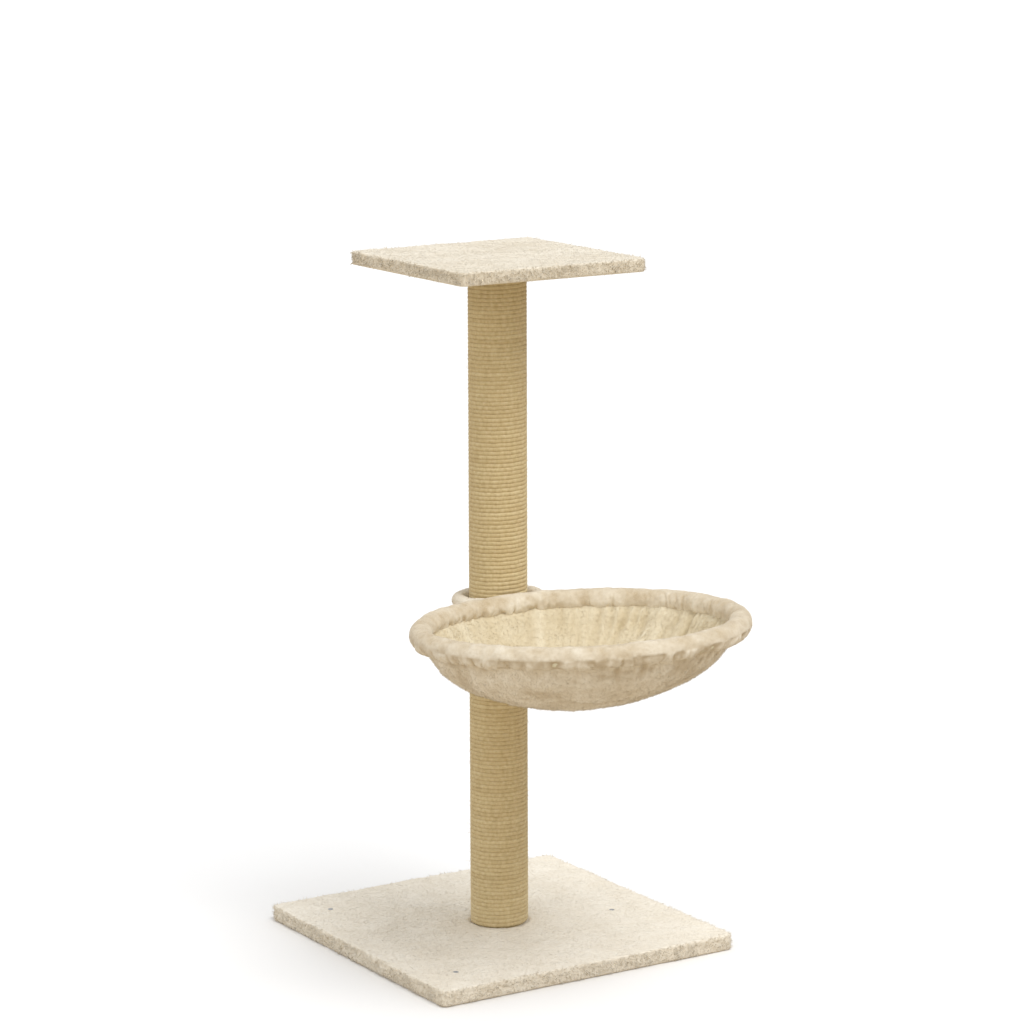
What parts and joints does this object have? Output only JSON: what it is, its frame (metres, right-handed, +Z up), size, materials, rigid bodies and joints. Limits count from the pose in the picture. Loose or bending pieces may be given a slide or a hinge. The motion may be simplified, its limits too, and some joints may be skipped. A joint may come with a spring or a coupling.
{
  "type": "cat tree",
  "caption": "Free-standing cat tree with a square plush base, rope-wound scratching post, round plush hammock that swivels on the post, and a square plush perch.",
  "frame": {"origin": "centre of the base's underside, on the floor and on the axis of the posts", "axes": "+Z up along the posts; X and Y along the base's sides; the hammock hangs out towards -Y at rest"},
  "size_m": [0.4337, 0.6304, 0.8305],
  "materials": {
    "plush": "cream short-pile plush",
    "plush_inner": "cream short-pile plush, slightly yellower",
    "sisal": "natural straw-coloured twisted fibre rope",
    "fibreboard": "raw pressed fibreboard",
    "plug_wood": "raw turned softwood",
    "tube_board": "spiral-wound board",
    "backing": "thin non-woven sheet",
    "foam": "soft open-cell foam",
    "steel": "zinc plated",
    "frame_steel": "black powder coat"
  },
  "bodies": {
    "root": {"base_board": "fibreboard", "base_cover": "plush", "base_tacks": "steel", "base_backing": "backing", "base_staples": "steel", "base_bolt": "steel", "base_washer": "steel", "post_tee_nuts": "steel", "post_joint_stud": "steel", "rope_end_staples": "steel", "lower_post_tube": "tube_board", "lower_post_rope": "sisal", "lower_post_bottom_plug": "plug_wood", "lower_post_top_plug": "plug_wood", "upper_post_tube": "tube_board", "upper_post_rope": "sisal", "upper_post_bottom_plug": "plug_wood", "upper_post_top_plug": "plug_wood", "platform_board": "fibreboard", "platform_cover": "plush", "platform_backing": "backing", "platform_staples": "steel", "platform_tee_nut": "steel", "platform_stud": "steel"},
    "hammock": {"hammock_arm": "frame_steel", "hammock_collar_ring": "frame_steel", "hammock_ring": "frame_steel", "hammock_weld_beads": "frame_steel", "hammock_rim_foam": "foam", "hammock_rim_cover": "plush", "hammock_collar_cover": "plush", "hammock_bowl_shell": "plush", "hammock_bowl_liner": "plush_inner"}
  },
  "joints": [
    {"name": "hammock_swivel", "type": "hinge", "parent": "root", "child": "hammock", "pos_m": [0, 0, 0.4166], "axis": [0, 0, 1], "continuous": true}
  ]
}
